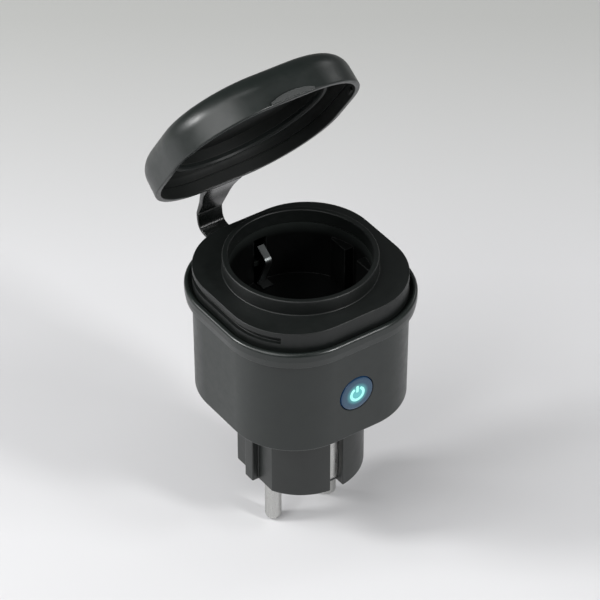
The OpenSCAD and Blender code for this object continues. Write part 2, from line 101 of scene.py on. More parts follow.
# A rounded square has its corner centres at (+-C, +-C), and R is its corner radius.
HOUSE_C, COVER_C, BAND_C, LID_C = 7.2, 6.9, 7.4, 5.85
HOUSE_BASE = house_low.z                  # underside of the housing
SEAM = house_high.z                       # where the housing meets the rim band
SEAM_R = house_high.x - HOUSE_C
HOUSE_R = SEAM_R - 0.3                    # the wall leans in towards its base
BAND_R = band_high.x - BAND_C
BAND_TOP = band_high.z
COVER_R = cover_high.x - COVER_C
COLLAR_TOP = cover_high.z
COVER_TOP = COLLAR_TOP - 4.5              # the square deck round the collar
DECK_UNDER = COVER_TOP - 2.4
COVER_BASE = 58.1
LEDGE = 60.1                              # the band and the cover overlap on this ledge
CUP_TOP = cup_high.z
CUP_R = 20.85                             # outside of the cup
RECESS_R = 19.9                           # inside of the cup and the collar
COLLAR_R = 21.55                          # outside of the collar
FLOOR = 50.0                              # floor of the recess
PIN_X = (pin_low.x + pin_high.x) / 2
PIN_R = 2.4
WALL = 2.0                                # thickness of the housing
BUTTON_HEIGHT = 40.7
BUTTON_R = 5.3
POST_AT = 17.2                            # the screw posts stand at (+-, +-) this
GROOVE_HALF = 2.05                        # half width of the slots that hold the earth parts


def closed_lid_box():
    """Box of the lid's shell when it is shut, from the node as it stands open."""
    back = Matrix.Translation(PIVOT) @ Matrix.Rotation(OPEN, 4, "X") @ Matrix.Translation(-PIVOT)
    points = [back @ (v.co / MM) for v in frame["nodes"]["lid_shell"].data.vertices]
    low = Vector([min(p[i] for p in points) for i in range(3)])
    high = Vector([max(p[i] for p in points) for i in range(3)])
    return low, high


lid_low, lid_high = closed_lid_box()
LID_R = lid_high.x - LID_C
RIM = lid_low.z
LID_TOP = lid_high.z
TO_OPEN = Matrix.Translation(PIVOT) @ Matrix.Rotation(-OPEN, 4, "X") @ Matrix.Translation(-PIVOT)


# ---- Mesh helpers ----

def fillet(points, radii, step=11.0):
    """A path of 2-D points with each corner rounded by its radius."""
    out = []
    for k, (p, r) in enumerate(zip(points, radii)):
        if r <= 0 or k == 0 or k == len(points) - 1:
            out.append(tuple(p))
            continue
        p0, p1, p2 = (Vector(points[k + i]) for i in (-1, 0, 1))
        a, b = (p0 - p1).normalized(), (p2 - p1).normalized()
        angle = a.angle(b)
        centre = p1 + (a + b).normalized() * (r / math.sin(angle / 2))
        start, end = p1 + a * (r / math.tan(angle / 2)), p1 + b * (r / math.tan(angle / 2))
        steps = max(2, math.ceil(math.degrees(math.pi - angle) / step))
        v0, v1 = start - centre, end - centre
        turn = v0.angle_signed(v1)
        for i in range(steps + 1):
            c, s = math.cos(-turn * i / steps), math.sin(-turn * i / steps)
            out.append((centre.x + v0.x * c - v0.y * s, centre.y + v0.x * s + v0.y * c))
    return out


def plan_loop(c, r, z, seg=SEG):
    """A rounded square of corner centres c and corner radius r, or a circle when c is 0."""
    out = []
    for turn in range(4):
        cx, cy = ((c, c), (-c, c), (-c, -c), (c, -c))[turn]
        for k in range(seg + 1):
            a = math.pi / 2 * (turn + k / seg)
            out.append((cx + r * math.cos(a), cy + r * math.sin(a), z))
    return out


def loft(rings, closed=False):
    """A mesh through rings of equal length: closed joins the last to the first, or else both are capped."""
    bm = bmesh.new()
    rows = [[bm.verts.new(p) for p in ring] for ring in rings]
    n = len(rows[0])
    pairs = list(zip(rows, rows[1:])) + ([(rows[-1], rows[0])] if closed else [])
    for low, high in pairs:
        for k in range(n):
            after = (k + 1) % n
            bm.faces.new((low[k], low[after], high[after], high[k]))
    if not closed:
        bm.faces.new(list(reversed(rows[0])))
        bm.faces.new(rows[-1])
    return clean(bm)


def clean(bm, distance=1e-4):
    """Merges points that coincide and turns every face outwards."""
    bmesh.ops.remove_doubles(bm, verts=bm.verts, dist=distance)
    bmesh.ops.dissolve_degenerate(bm, edges=bm.edges, dist=distance)
    bmesh.ops.recalc_face_normals(bm, faces=bm.faces)
    return bm


def as_object(bm, name):
    """A linked object from a bmesh, which is freed."""
    mesh = bpy.data.meshes.new(name)
    bm.to_mesh(mesh)
    bm.free()
    obj = bpy.data.objects.new(name, mesh)
    bpy.context.scene.collection.objects.link(obj)
    return obj


def as_bmesh(obj):
    """A bmesh from an object, which is removed."""
    bm = bmesh.new()
    bm.from_mesh(obj.data)
    bpy.data.objects.remove(obj)
    return bm


def sweep(section, c=0.0, closed=False, seg=SEG):
    """A section of (outward, z) or (c, outward, z) points carried round a plan."""
    rings = [plan_loop(*(point if len(point) == 3 else (c, *point)), seg) for point in section]
    return loft(rings, closed=closed)


def extrude(outline, low, high, at=Matrix.Identity(4)):
    """A prism over a 2-D outline."""
    bm = loft([[(x, y, low) for x, y in outline], [(x, y, high) for x, y in outline]])
    bm.transform(at)
    return bm


def block(low, high, at=Matrix.Identity(4)):
    """A box between two corners."""
    return extrude([(low[0], low[1]), (high[0], low[1]), (high[0], high[1]), (low[0], high[1])],
                   low[2], high[2], at)


def lathe(section, at=Matrix.Identity(4), seg=SEG, closed=True):
    """A section of (radius, z) points turned round Z."""
    bm = sweep(section, 0.0, closed, seg)
    bm.transform(at)
    return bm


def cylinder(radius, low, high, at=Matrix.Identity(4), seg=SEG):
    """A round bar between two heights."""
    return lathe([(radius, low), (radius, high)], at, seg, closed=False)


def arc_sweep(section, c, turn, steps=SEG // 2):
    """A section carried along one side of a rounded square, out to the middle of both corners."""
    end = math.pi / 4
    rings = []
    angles = [(-c, -end + end * k / steps) for k in range(steps + 1)]
    angles += [(c, end * k / steps) for k in range(steps + 1)]
    for cy, a in angles:
        rings.append([(c + r * math.cos(a), cy + r * math.sin(a), z) for r, z in section])
    bm = loft(rings)
    bm.transform(Matrix.Rotation(turn, 4, "Z"))
    return bm


def join(*parts):
    """Several bmeshes as one."""
    bm = bmesh.new()
    for part in parts:
        mesh = bpy.data.meshes.new("part")
        part.to_mesh(mesh)
        part.free()
        bm.from_mesh(mesh)
        bpy.data.meshes.remove(mesh)
    return bm


def apply_modifiers(obj):
    """Leaves the object's mesh as its modifiers made it."""
    graph = bpy.context.evaluated_depsgraph_get()
    mesh = bpy.data.meshes.new_from_object(obj.evaluated_get(graph))
    obj.modifiers.clear()
    obj.data = mesh


def combine(obj, operation, *cutters):
    """Exact booleans with each cutter, which are bmeshes."""
    made = []
    for k, cutter in enumerate(cutters):
        tool = as_object(cutter, f"tool{k}")
        modifier = obj.modifiers.new("cut", "BOOLEAN")
        modifier.operation, modifier.solver, modifier.object = operation, "EXACT", tool
        made.append(tool)
    bpy.context.view_layer.update()
    apply_modifiers(obj)
    for tool in made:
        bpy.data.objects.remove(tool)


def soften(obj, width, angle=40.0, segments=2):
    """Rounds the edges that are sharper than the angle."""
    modifier = obj.modifiers.new("soften", "BEVEL")
    modifier.width, modifier.segments = width, segments
    modifier.limit_method, modifier.angle_limit = "ANGLE", math.radians(angle)
    bpy.context.view_layer.update()
    apply_modifiers(obj)


def smooth(obj, angle=32.0):
    """Smooth shading, with the edges over the angle kept sharp."""
    bm = bmesh.new()
    bm.from_mesh(obj.data)
    clean(bm, 2e-4)
    limit = math.radians(angle)
    for face in bm.faces:
        face.smooth = True
    for edge in bm.edges:
        edge.smooth = len(edge.link_faces) == 2 and edge.calc_face_angle(0.0) < limit
    bm.to_mesh(obj.data)
    bm.free()


def place(obj, body, material, slot, *nodes, angle=32.0):
    """Finishes a piece made in millimetres: shading, metres, finish, body and what it stands for."""
    smooth(obj, angle)
    obj.data.transform(Matrix.Scale(MM, 4))
    weighted = obj.modifiers.new("normals", "WEIGHTED_NORMAL")
    weighted.keep_sharp = True
    obj.data.materials.clear()
    obj.data.materials.append(material)
    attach(obj, body)
    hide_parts(*nodes)


# ---- Materials ----

def new_material(name):
    """A material with its node tree and its Principled shader."""
    material = bpy.data.materials.new(name)
    material.use_nodes = True
    tree = material.node_tree
    shader = tree.nodes["Principled BSDF"]
    return material, tree, shader


def noise(tree, coords, scale, detail=3.0, rough=0.55):
    """Clouded values from 0 to 1, with scale cells to a metre."""
    node = tree.nodes.new("ShaderNodeTexNoise")
    node.inputs["Scale"].default_value = scale
    node.inputs["Detail"].default_value = detail
    node.inputs["Roughness"].default_value = rough
    tree.links.new(coords, node.inputs["Vector"])
    return node.outputs["Fac"]


def remap(tree, value, low, high, to_low, to_high):
    """A value carried from one range to another, and held within it."""
    node = tree.nodes.new("ShaderNodeMapRange")
    for key, number in (("From Min", low), ("From Max", high), ("To Min", to_low), ("To Max", to_high)):
        node.inputs[key].default_value = number
    tree.links.new(value, node.inputs["Value"])
    return node.outputs["Result"]


def mix(tree, factor, a, b):
    """From colour a to colour b by the factor."""
    node = tree.nodes.new("ShaderNodeMix")
    node.data_type = "RGBA"
    for key, item in ((0, factor), (6, a), (7, b)):
        if isinstance(item, tuple):
            node.inputs[key].default_value = (*item, 1.0)
        else:
            tree.links.new(item, node.inputs[key])
    return node.outputs[2]


def math_node(tree, operation, a, b):
    """A sum, product or power of a value and another value or a number."""
    node = tree.nodes.new("ShaderNodeMath")
    node.operation = operation
    tree.links.new(a, node.inputs[0])
    if isinstance(b, (int, float)):
        node.inputs[1].default_value = b
    else:
        tree.links.new(b, node.inputs[1])
    return node.outputs[0]


def bump(tree, shader, height, strength, distance):
    """Relief on the shader's normal, with the distance in metres."""
    node = tree.nodes.new("ShaderNodeBump")
    node.inputs["Strength"].default_value = strength
    node.inputs["Distance"].default_value = distance
    tree.links.new(height, node.inputs["Height"])
    tree.links.new(node.outputs["Normal"], shader.inputs["Normal"])


def edge_mask(tree, radius):
    """1 on edges, 0 on flats: how far the rounded normal leans from the face's own."""
    bevel = tree.nodes.new("ShaderNodeBevel")
    bevel.samples = 4
    bevel.inputs["Radius"].default_value = radius
    geometry = tree.nodes.new("ShaderNodeNewGeometry")
    dot = tree.nodes.new("ShaderNodeVectorMath")
    dot.operation = "DOT_PRODUCT"
    tree.links.new(bevel.outputs["Normal"], dot.inputs[0])
    tree.links.new(geometry.outputs["Normal"], dot.inputs[1])
    return remap(tree, dot.outputs["Value"], 1.0, 0.88, 0.0, 1.0)


def object_coords(tree, stretch=None):
    """Places in metres in the object's frame, scaled by the stretch."""
    coords = tree.nodes.new("ShaderNodeTexCoord").outputs["Object"]
    if stretch:
        mapping = tree.nodes.new("ShaderNodeMapping")
        mapping.inputs["Scale"].default_value = stretch
        tree.links.new(coords, mapping.inputs["Vector"])
        coords = mapping.outputs["Vector"]
    return coords


WEAR_AND_HIGHLIGHT_HEIGHTS = (0.053, 0.058)                   # rubbed edges and their painted highlights die away between these heights in metres


def plastic(name, base, roughness=0.42, grain=2600.0, relief=0.07, wear_and_highlight=0.25, edge=0.0005, gloss=0.5,
            painted_shade_heights=None):
    """Moulded plastic: fine spark-eroded grain, faint flow clouding, and lighter edges that stand partly
    for rubbing and partly for painted highlights.

    painted_shade_heights gives two heights: below the first the plastic is painted nearly black as shade in
    the recess, and its edges are lightened there as rubbing and as painted highlights."""
    material, tree, shader = new_material(name)
    coords = object_coords(tree)
    cloud = noise(tree, coords, 160.0, 4.0)
    fine = noise(tree, coords, grain, 2.0)
    scuff = noise(tree, coords, 420.0, 5.0, 0.7)
    light = tuple(min(1.0, v * 1.14 + 0.0006) for v in base)
    dark = tuple(v * 0.92 for v in base)
    body = mix(tree, remap(tree, cloud, 0.3, 0.7, 0.0, 1.0), dark, light)
    speck = mix(tree, remap(tree, fine, 0.45, 0.75, 0.0, 0.35), body, light)
    # in the painted-shade plastic the edge colour is lifted more, so that edges deep in the recess show as
    # painted highlight lines
    lift = 0.05 if painted_shade_heights else 0.012
    # painted highlight: edges are lightened towards this colour, partly as rubbing and partly as painted
    # highlights along them
    rubbed = tuple(min(1.0, v * 2.0 + lift) for v in base)
    worn_and_highlit_edges = math_node(tree, "MULTIPLY", edge_mask(tree, edge), remap(tree, scuff, 0.35, 0.65, 0.4, 1.0))
    if painted_shade_heights:
        split = tree.nodes.new("ShaderNodeSeparateXYZ")
        tree.links.new(coords, split.inputs[0])
        height = split.outputs["Z"]
        lit = remap(tree, height, *painted_shade_heights, 0.0, 1.0)
        # painted shade: below the heights the colour is darkened nearly to black, standing for the shade
        # deep in the recess
        speck = mix(tree, lit, tuple(v * 0.08 for v in base), speck)
        worn_and_highlit_edges = math_node(tree, "MULTIPLY", worn_and_highlit_edges, remap(tree, lit, 0.05, 0.15, 1.0, 0.0))
        worn_and_highlit_edges = math_node(tree, "MULTIPLY", worn_and_highlit_edges, remap(tree, height, *WEAR_AND_HIGHLIGHT_HEIGHTS, 0.0, 1.0))
    colour = mix(tree, math_node(tree, "MULTIPLY", worn_and_highlit_edges, wear_and_highlight), speck, rubbed)
    tree.links.new(colour, shader.inputs["Base Color"])
    rough = math_node(tree, "ADD", remap(tree, scuff, 0.3, 0.7, roughness - 0.05, roughness + 0.05),
                      math_node(tree, "MULTIPLY", worn_and_highlit_edges, -0.08))
    tree.links.new(rough, shader.inputs["Roughness"])
    shader.inputs["Specular IOR Level"].default_value = gloss
    bump(tree, shader, fine, relief, 0.00006)
    return material


def rubber(name, base, roughness=0.5, gloss=0.5, relief=0.18, bloom_span=0.16):
    """Soft elastomer: fine matt skin with slight bloom."""
    material, tree, shader = new_material(name)
    coords = object_coords(tree)
    bloom = noise(tree, coords, 180.0, 5.0, 0.65)
    fine = noise(tree, coords, 3800.0, 2.0)
    pale = tuple(v * 1.6 + 0.001 for v in base)
    colour = mix(tree, remap(tree, bloom, 0.35, 0.75, 0.0, 0.5), base, pale)
    tree.links.new(colour, shader.inputs["Base Color"])
    rough = remap(tree, bloom, 0.3, 0.7, roughness - bloom_span / 2, roughness + bloom_span / 2)
    tree.links.new(rough, shader.inputs["Roughness"])
    shader.inputs["Specular IOR Level"].default_value = gloss
    bump(tree, shader, fine, relief, 0.00006)
    return material


def metal(name, base, roughness=0.3, stretch=(900.0, 900.0, 60.0), tarnish=0.12, relief=0.035, rub=0.5):
    """Plated metal: fine drawn lines, clouded tarnish and brighter rubbed edges."""
    material, tree, shader = new_material(name)
    lines = noise(tree, object_coords(tree, stretch), 3.0, 3.0, 0.6)
    cloud = noise(tree, object_coords(tree), 260.0, 4.0)
    dull = tuple(v * 0.88 for v in base)
    colour = mix(tree, remap(tree, cloud, 0.4, 0.75, 0.0, tarnish * 3), base, dull)
    if rub:
        colour = mix(tree, math_node(tree, "MULTIPLY", edge_mask(tree, 0.0004), rub), colour,
                     tuple(min(1.0, v * 1.2) for v in base))
    tree.links.new(colour, shader.inputs["Base Color"])
    rough = remap(tree, lines, 0.3, 0.7, roughness - 0.06, roughness + 0.12)
    tree.links.new(rough, shader.inputs["Roughness"])
    shader.inputs["Metallic"].default_value = 1.0
    bump(tree, shader, lines, relief, 0.00005)
    return material


def coated(name, base, roughness=0.3, scale=900.0, relief=0.15):
    """Dipped, taped or masked surfaces of the electronic parts."""
    material, tree, shader = new_material(name)
    coords = object_coords(tree)
    cloud = noise(tree, coords, scale * 0.25, 3.0)
    fine = noise(tree, coords, scale * 3, 2.0)
    colour = mix(tree, remap(tree, cloud, 0.3, 0.7, 0.0, 1.0), tuple(v * 0.8 for v in base),
                 tuple(min(1.0, v * 1.25 + 0.004) for v in base))
    tree.links.new(colour, shader.inputs["Base Color"])
    rough = remap(tree, fine, 0.3, 0.7, roughness - 0.05, roughness + 0.1)
    tree.links.new(rough, shader.inputs["Roughness"])
    bump(tree, shader, cloud, relief, 0.0001)
    return material


def lens_material(centre):
    """Dark blue lens that glows round the lit symbol, and less towards its rim."""
    material, tree, shader = new_material("button_lens")
    coords = object_coords(tree)
    away = tree.nodes.new("ShaderNodeVectorMath")
    away.operation = "DISTANCE"
    away.inputs[1].default_value = centre
    tree.links.new(coords, away.inputs[0])
    radius = away.outputs["Value"]
    fine = noise(tree, coords, 1500.0, 3.0)
    halo = remap(tree, radius, 0.0037, 0.0019, 0.0, 1.0)
    halo = math_node(tree, "POWER", halo, 1.3)
    rim = remap(tree, radius, 0.0050, 0.0043, 0.0, 1.0)
    # the base colour is also lighter round the symbol: painted glow
    colour = mix(tree, halo, (0.012, 0.035, 0.06), (0.03, 0.14, 0.2))
    colour = mix(tree, remap(tree, fine, 0.4, 0.7, 0.0, 0.3), colour, (0.025, 0.065, 0.1))
    tree.links.new(colour, shader.inputs["Base Color"])
    dim = mix(tree, rim, (0.002, 0.014, 0.05), (0.008, 0.036, 0.07))
    glow = mix(tree, halo, dim, (0.115, 0.5, 0.46))
    tree.links.new(glow, shader.inputs["Emission Color"])
    shader.inputs["Emission Strength"].default_value = 0.75
    tree.links.new(remap(tree, fine, 0.3, 0.7, 0.16, 0.26), shader.inputs["Roughness"])
    shader.inputs["Coat Weight"].default_value = 0.12
    shader.inputs["Coat Roughness"].default_value = 0.08
    bump(tree, shader, fine, 0.05, 0.00005)
    return material


def glow_material():
    """The lit symbol, with slightly clouded light."""
    material, tree, shader = new_material("symbol_glow")
    coords = object_coords(tree)
    fine = noise(tree, coords, 900.0, 2.0)
    colour = mix(tree, remap(tree, fine, 0.3, 0.7, 0.0, 1.0), (0.21, 0.58, 0.52), (0.28, 0.68, 0.6))
    tree.links.new(colour, shader.inputs["Base Color"])
    tree.links.new(colour, shader.inputs["Emission Color"])
    shader.inputs["Emission Strength"].default_value = 0.75
    tree.links.new(remap(tree, fine, 0.3, 0.7, 0.3, 0.4), shader.inputs["Roughness"])
    return material


BODY = (0.0078, 0.011, 0.0098)
housing_plastic = plastic("housing_plastic", BODY, 0.37, wear_and_highlight=0.12)
band_plastic = plastic("band_plastic", BODY, 0.31, relief=0.012, wear_and_highlight=0.12)
# a matter, darker copy of the housing plastic for the lid's inside: the darker colour is painted shade
shaded_lid_inner_plastic = plastic("shaded_lid_inner_plastic", (0.0062, 0.0076, 0.0069), 0.62, wear_and_highlight=0.2, gloss=0.3)
# a darker copy of the body plastic: painted shade, as if from the lid over the deck and collar
cover_plastic = plastic("cover_plastic", (0.0034, 0.0047, 0.0042), 0.47, wear_and_highlight=0.02, gloss=0.43)
# socket plastic: painted shade darkens the recess below 63.8 mm, and painted highlights lighten its guide
# edges
socket_plastic = plastic("socket_plastic", (0.013, 0.0155, 0.0145), 0.45, wear_and_highlight=0.42, edge=0.0003,
                         gloss=0.2, painted_shade_heights=(0.0638, 0.0674))
core_plastic = plastic("core_plastic", (0.0105, 0.0125, 0.0115), 0.36)
seal_rubber = rubber("seal_rubber", (0.008, 0.0105, 0.0098), 0.5, 0.4)
strap_rubber = rubber("strap_rubber", (0.004, 0.005, 0.0045), 0.27, 0.42, relief=0.01, bloom_span=0.04)
pin_metal = metal("pin_metal", (0.52, 0.52, 0.505), 0.26, tarnish=0.04, relief=0.012)
# clips and contacts: the very dark base is painted shade, standing for the darkness of the recess on the
# metal
contact_metal = metal("contact_metal", (0.105, 0.112, 0.112), 0.38, (60.0, 60.0, 20.0), tarnish=0.06,
                      relief=0.004, rub=0.0)


# ---- Case ----

def place_button():
    """Matrix of the button's own axes: +Z out of the front wall, origin in the wall's face."""
    press = Vector(joint_record("button_press")["axis"]).normalized()
    up = (BUTTON_HEIGHT - HOUSE_BASE) / (SEAM - HOUSE_BASE)
    y = -(HOUSE_R + HOUSE_C + (SEAM_R - HOUSE_R) * up)
    tilt = math.atan2(press.z, press.y)
    return Matrix.Translation((0, y, BUTTON_HEIGHT)) @ Matrix.Rotation(math.pi / 2 + tilt, 4, "X")


AT_BUTTON = place_button()
AT_POSTS = [Matrix.Translation((x, y, 0)) for x in (-POST_AT, POST_AT) for y in (-POST_AT, POST_AT)]
AT_PINS = [Matrix.Translation((x, 0, 0)) for x in (-PIN_X, PIN_X)]
HALF_TURNS = (0.0, math.pi)


def make_housing():
    """Open-topped shell with the button's bore, the plug's hole, the strap's slot and the screw bosses."""
    section = fillet(
        [(15.0, HOUSE_BASE), (HOUSE_R, HOUSE_BASE), (SEAM_R, SEAM), (SEAM_R - WALL, SEAM),
         (HOUSE_R - WALL, HOUSE_BASE + WALL), (12.0, HOUSE_BASE + WALL)],
        [0, 0.65, 0.12, 0.2, 0.6, 0])
    obj = as_object(sweep(section, HOUSE_C), "housing_shell")
    boss_r, boss_top = 3.6, 31.0
    combine(obj, "UNION", *[cylinder(boss_r, HOUSE_BASE + 1, boss_top, at, HIDDEN_SEG) for at in AT_POSTS])
    bore, flare = BUTTON_R + 0.2, BUTTON_R + 0.55
    button_bore = [(bore, -3.5), (bore, -0.35), (bore + 0.07, -0.14), (flare, 0.02), (flare, 1.0)]
    hole = 17.98
    plug_hole = [(hole + 0.32, HOUSE_BASE - 1), (hole + 0.32, HOUSE_BASE), (hole + 0.12, HOUSE_BASE + 0.06),
                 (hole, HOUSE_BASE + 0.28), (hole, HOUSE_BASE + 4)]
    head_r, head_seat, screw_r = 3.1, 29.0, 1.65
    screw_bore = [(head_r + 0.15, HOUSE_BASE - 1), (head_r + 0.15, HOUSE_BASE), (head_r, HOUSE_BASE + 0.15),
                  (head_r, head_seat), (screw_r, head_seat), (screw_r, boss_top + 1)]
    strap_slot = block((-4.3, 20.0, 53.35), (4.3, 30.0, 54.55))
    combine(obj, "DIFFERENCE", lathe(button_bore, AT_BUTTON, closed=False), lathe(plug_hole, closed=False),
            strap_slot, *[lathe(screw_bore, at, HIDDEN_SEG, closed=False) for at in AT_POSTS])
    place(obj, "root", housing_plastic, "housing_plastic", "lower_housing")


def make_band():
    """The rim band: it stands out over the housing wall, with a rounded crest and a slope inside it."""
    base, swell = SEAM + 0.02, 59.4
    outside = fillet(
        [(19.9, base), (BAND_R - 0.4, base), (BAND_R - 0.02, swell), (BAND_R, BAND_TOP),
         (BAND_R - 1.15, BAND_TOP), (19.62, BAND_TOP - 1.0)],
        [0, 0.35, 2.0, 0.95, 0.3, 0])
    round_deck, round_skirt = COVER_R + 0.07, COVER_R - 0.78
    inside = [(round_deck, BAND_TOP - 1.02), (round_deck, LEDGE), (round_skirt, LEDGE), (round_skirt, base)]
    section = [(BAND_C, r, z) for r, z in outside] + [(COVER_C, r, z) for r, z in inside]
    obj = as_object(sweep(section, closed=True), "rim_band_ring")
    place(obj, "root", band_plastic, "housing_plastic", "rim_band")


def make_cover():
    """Cover in a darker copy of the body plastic, as painted shade: square deck, round collar with a foot
    fillet, and a snap groove on each side.
    """
    skirt = COVER_R - 0.85
    deck = fillet(
        [(skirt, COVER_BASE), (skirt, LEDGE), (COVER_R, LEDGE), (COVER_R, COVER_TOP),
         (COVER_R - 3.0, COVER_TOP)],
        [0, 0, 0.1, 0.22, 0])
    seat = CUP_R + 0.05
    collar = fillet(
        [(COLLAR_R + 2.0, COVER_TOP), (COLLAR_R, COVER_TOP), (COLLAR_R, COLLAR_TOP),
         (RECESS_R, COLLAR_TOP), (RECESS_R, CUP_TOP + 0.35), (RECESS_R + 0.35, CUP_TOP),
         (seat, CUP_TOP), (seat, DECK_UNDER)],
        [0, 0.3, 0.4, 0.35, 0, 0, 0, 0])
    inner = [(COVER_R - 2.2, DECK_UNDER), (COVER_R - 2.2, COVER_BASE)]
    section = ([(COVER_C, r, z) for r, z in deck] + [(0.0, r, z) for r, z in collar]
               + [(COVER_C, r, z) for r, z in inner])
    obj = as_object(sweep(section, closed=True), "socket_cover")
    clear, groove_low, groove_high = COVER_R + 1.5, 63.8, 66.0
    groove = fillet([(clear, groove_low), (COVER_R - 1.15, groove_low + 0.15), (COVER_R + 0.1, groove_high),
                     (clear, groove_high)], [0, 0.15, 0, 0])
    combine(obj, "DIFFERENCE", *[arc_sweep(groove, COVER_C, turn) for turn in HALF_TURNS])
    post_r, post_foot = 2.5, 32.7
    post_seg = 10
    combine(obj, "UNION", *[cylinder(post_r, post_foot, COVER_TOP - 1.0, at, post_seg) for at in AT_POSTS])
    place(obj, "root", cover_plastic, "cover_plastic", "upper_cover", angle=20)


def make_cup():
    """Socket cup with its floor, guide blocks, pin holes and the slots of the earth clips."""
    bottom, middle = FLOOR - 2.0, 0.6
    top = CUP_TOP - 0.03
    flange_r, flange_low, flange_high = 21.6, COVER_TOP - 3.7, DECK_UNDER - 0.05
    section = fillet(
        [(middle, bottom), (CUP_R, bottom), (CUP_R, flange_low), (flange_r, flange_low),
         (flange_r, flange_high), (CUP_R, flange_high), (CUP_R, top), (RECESS_R, top),
         (RECESS_R, FLOOR), (middle, FLOOR)],
        [0, 0.5, 0, 0, 0, 0, 0.1, 0, 0.12, 0])
    obj = as_object(sweep(section), "socket_well")
    # each guide block runs from near to far along the wall, and its back is sunk into the wall
    near, far, face, back, guide_top = 2.8, 9.7, 16.8, 20.3, 63.9
    start, end = math.asin(near / back), math.asin(far / back)
    steps = 8
    guides = []
    for side in (1, -1):
        for up in (1, -1):
            outline = []
            for k in range(steps + 1):
                a = start + (end - start) * k / steps
                outline.append((back * math.cos(a) * side, back * math.sin(a) * up))
            outline += [(face * side, far * up), (face * side, near * up)]
            guide = as_object(extrude(outline, FLOOR - 0.5, guide_top), "guide")
            soften(guide, 0.2)
            guides.append(as_bmesh(guide))
    combine(obj, "UNION", *guides)
    hole, mouth = 2.75, 3.2
    pin_hole = [(hole, bottom - 1), (hole, FLOOR - 0.3), (mouth, FLOOR + 0.15), (mouth, FLOOR + 1)]
    slot = ((-GROOVE_HALF, -CUP_R - 1, bottom - 1), (GROOVE_HALF, -18.2, 64.6))
    combine(obj, "DIFFERENCE",
            *[lathe(pin_hole, at, PART_SEG, closed=False) for at in AT_PINS],
            *[block(*slot, Matrix.Rotation(turn, 4, "Z")) for turn in HALF_TURNS])
    place(obj, "root", socket_plastic, "socket_plastic", "socket_cup", angle=30)


# ---- Plug ----

def make_core():
    """Round plug body with side flats, centre ribs and the two earth grooves."""
    radius, flat, rib, groove_floor = 17.9, 15.75, 1.9, 14.55
    quarter = [(17.84, 0.0), (17.8, rib), (flat, rib), (flat, math.sqrt(radius ** 2 - flat ** 2))]
    start = math.acos(flat / radius)
    end = math.acos(GROOVE_HALF / radius)
    steps = 20
    for k in range(1, steps + 1):
        a = start + (end - start) * k / steps
        quarter.append((radius * math.cos(a), radius * math.sin(a)))
    quarter += [(GROOVE_HALF, groove_floor), (0.0, groove_floor)]
    rounding = [0, 0.35, 0, 0.3] + [0] * (steps - 1) + [0.35, 0.2, 0]
    quarter = fillet(quarter, rounding, 30)
    half = quarter[:-1] + [(-x, y) for x, y in reversed(quarter)][1:-1]
    outline = half + [(-x, -y) for x, y in half]
    top = HOUSE_BASE + WALL
    obj = as_object(extrude(outline, 0.0, top), "plug_body")
    soften(obj, 0.45, 60, 3)
    neck_r, flange_r, cavity_r, cavity_floor = 17.86, 20.5, 12.8, 9.0
    combine(obj, "UNION", cylinder(neck_r, HOUSE_BASE, top + 0.1), cylinder(flange_r, top, top + 2.0))
    hole, mouth = PIN_R + 0.32, PIN_R + 0.75
    pin_hole = [(mouth, -1), (mouth, 0), (hole, 0.35), (hole, cavity_floor + 2)]
    groove = ((-GROOVE_HALF, -21.0, HOUSE_BASE - 0.5), (GROOVE_HALF, -groove_floor, top + 3.0))
    combine(obj, "DIFFERENCE",
            *[lathe(pin_hole, at, PART_SEG, closed=False) for at in AT_PINS],
            cylinder(cavity_r, cavity_floor, top + 5.0),
            *[block(*groove, Matrix.Rotation(turn, 4, "Z")) for turn in HALF_TURNS])
    place(obj, "root", core_plastic, "core_plastic", "plug_core", angle=30)


def make_pin(x, name):
    """Turned pin: round nose, a faint shoulder line and the shank in the plug body."""
    nose = [(PIN_R * math.sin(a), pin_low.z + PIN_R * (1 - math.cos(a)))
            for a in [math.radians(v) for v in range(8, 91, 7)]]
    line, shank, head, head_low = PIN_R - 0.06, PIN_R + 0.28, 3.0, 9.0
    points = nose + [(PIN_R, -0.9), (line, -0.8), (line, -0.55), (PIN_R, -0.45), (PIN_R, 0.3),
                     (shank, 0.45), (shank, head_low), (head, head_low), (head, head_low + 1.2),
                     (head - 0.15, head_low + 1.4)]
    obj = as_object(lathe(points, Matrix.Translation((x, 0, 0)), PART_SEG, closed=False), name)
    node = "pin_right" if x > 0 else "pin_left"
    place(obj, "root", pin_metal, "pin_metal", node)


def strip(points, radii, thick, width, name):
    """A strip bent through (y, z) points, with rounded bends and softened edges."""
    path = fillet(points, radii, 15)
    sides = ([], [])
    for k, p in enumerate(path):
        before = Vector(path[max(k, 1)]) - Vector(path[max(k, 1) - 1])
        after = Vector(path[min(k, len(path) - 2) + 1]) - Vector(path[min(k, len(path) - 2)])
        middle = (before.normalized() + after.normalized()).normalized()
        off = Vector((-middle.y, middle.x)) * thick / 2 / max(0.5, middle.dot(before.normalized()))
        sides[0].append(Vector(p) + off)
        sides[1].append(Vector(p) - off)
    outline = [(v.x, v.y) for v in sides[0]] + [(v.x, v.y) for v in reversed(sides[1])]
    turn = Matrix(((0, 0, 1, 0), (1, 0, 0, 0), (0, 1, 0, 0), (0, 0, 0, 1)))
    obj = as_object(extrude(outline, -width / 2, width / 2, turn), name)
    soften(obj, min(0.12, thick / 5), 50)
    return obj


def pair(obj):
    """The same piece again, turned half way round."""
    name = obj.name
    bm = as_bmesh(obj)
    twin = bm.copy()
    twin.transform(Matrix.Rotation(math.pi, 4, "Z"))
    return as_object(join(bm, twin), name)


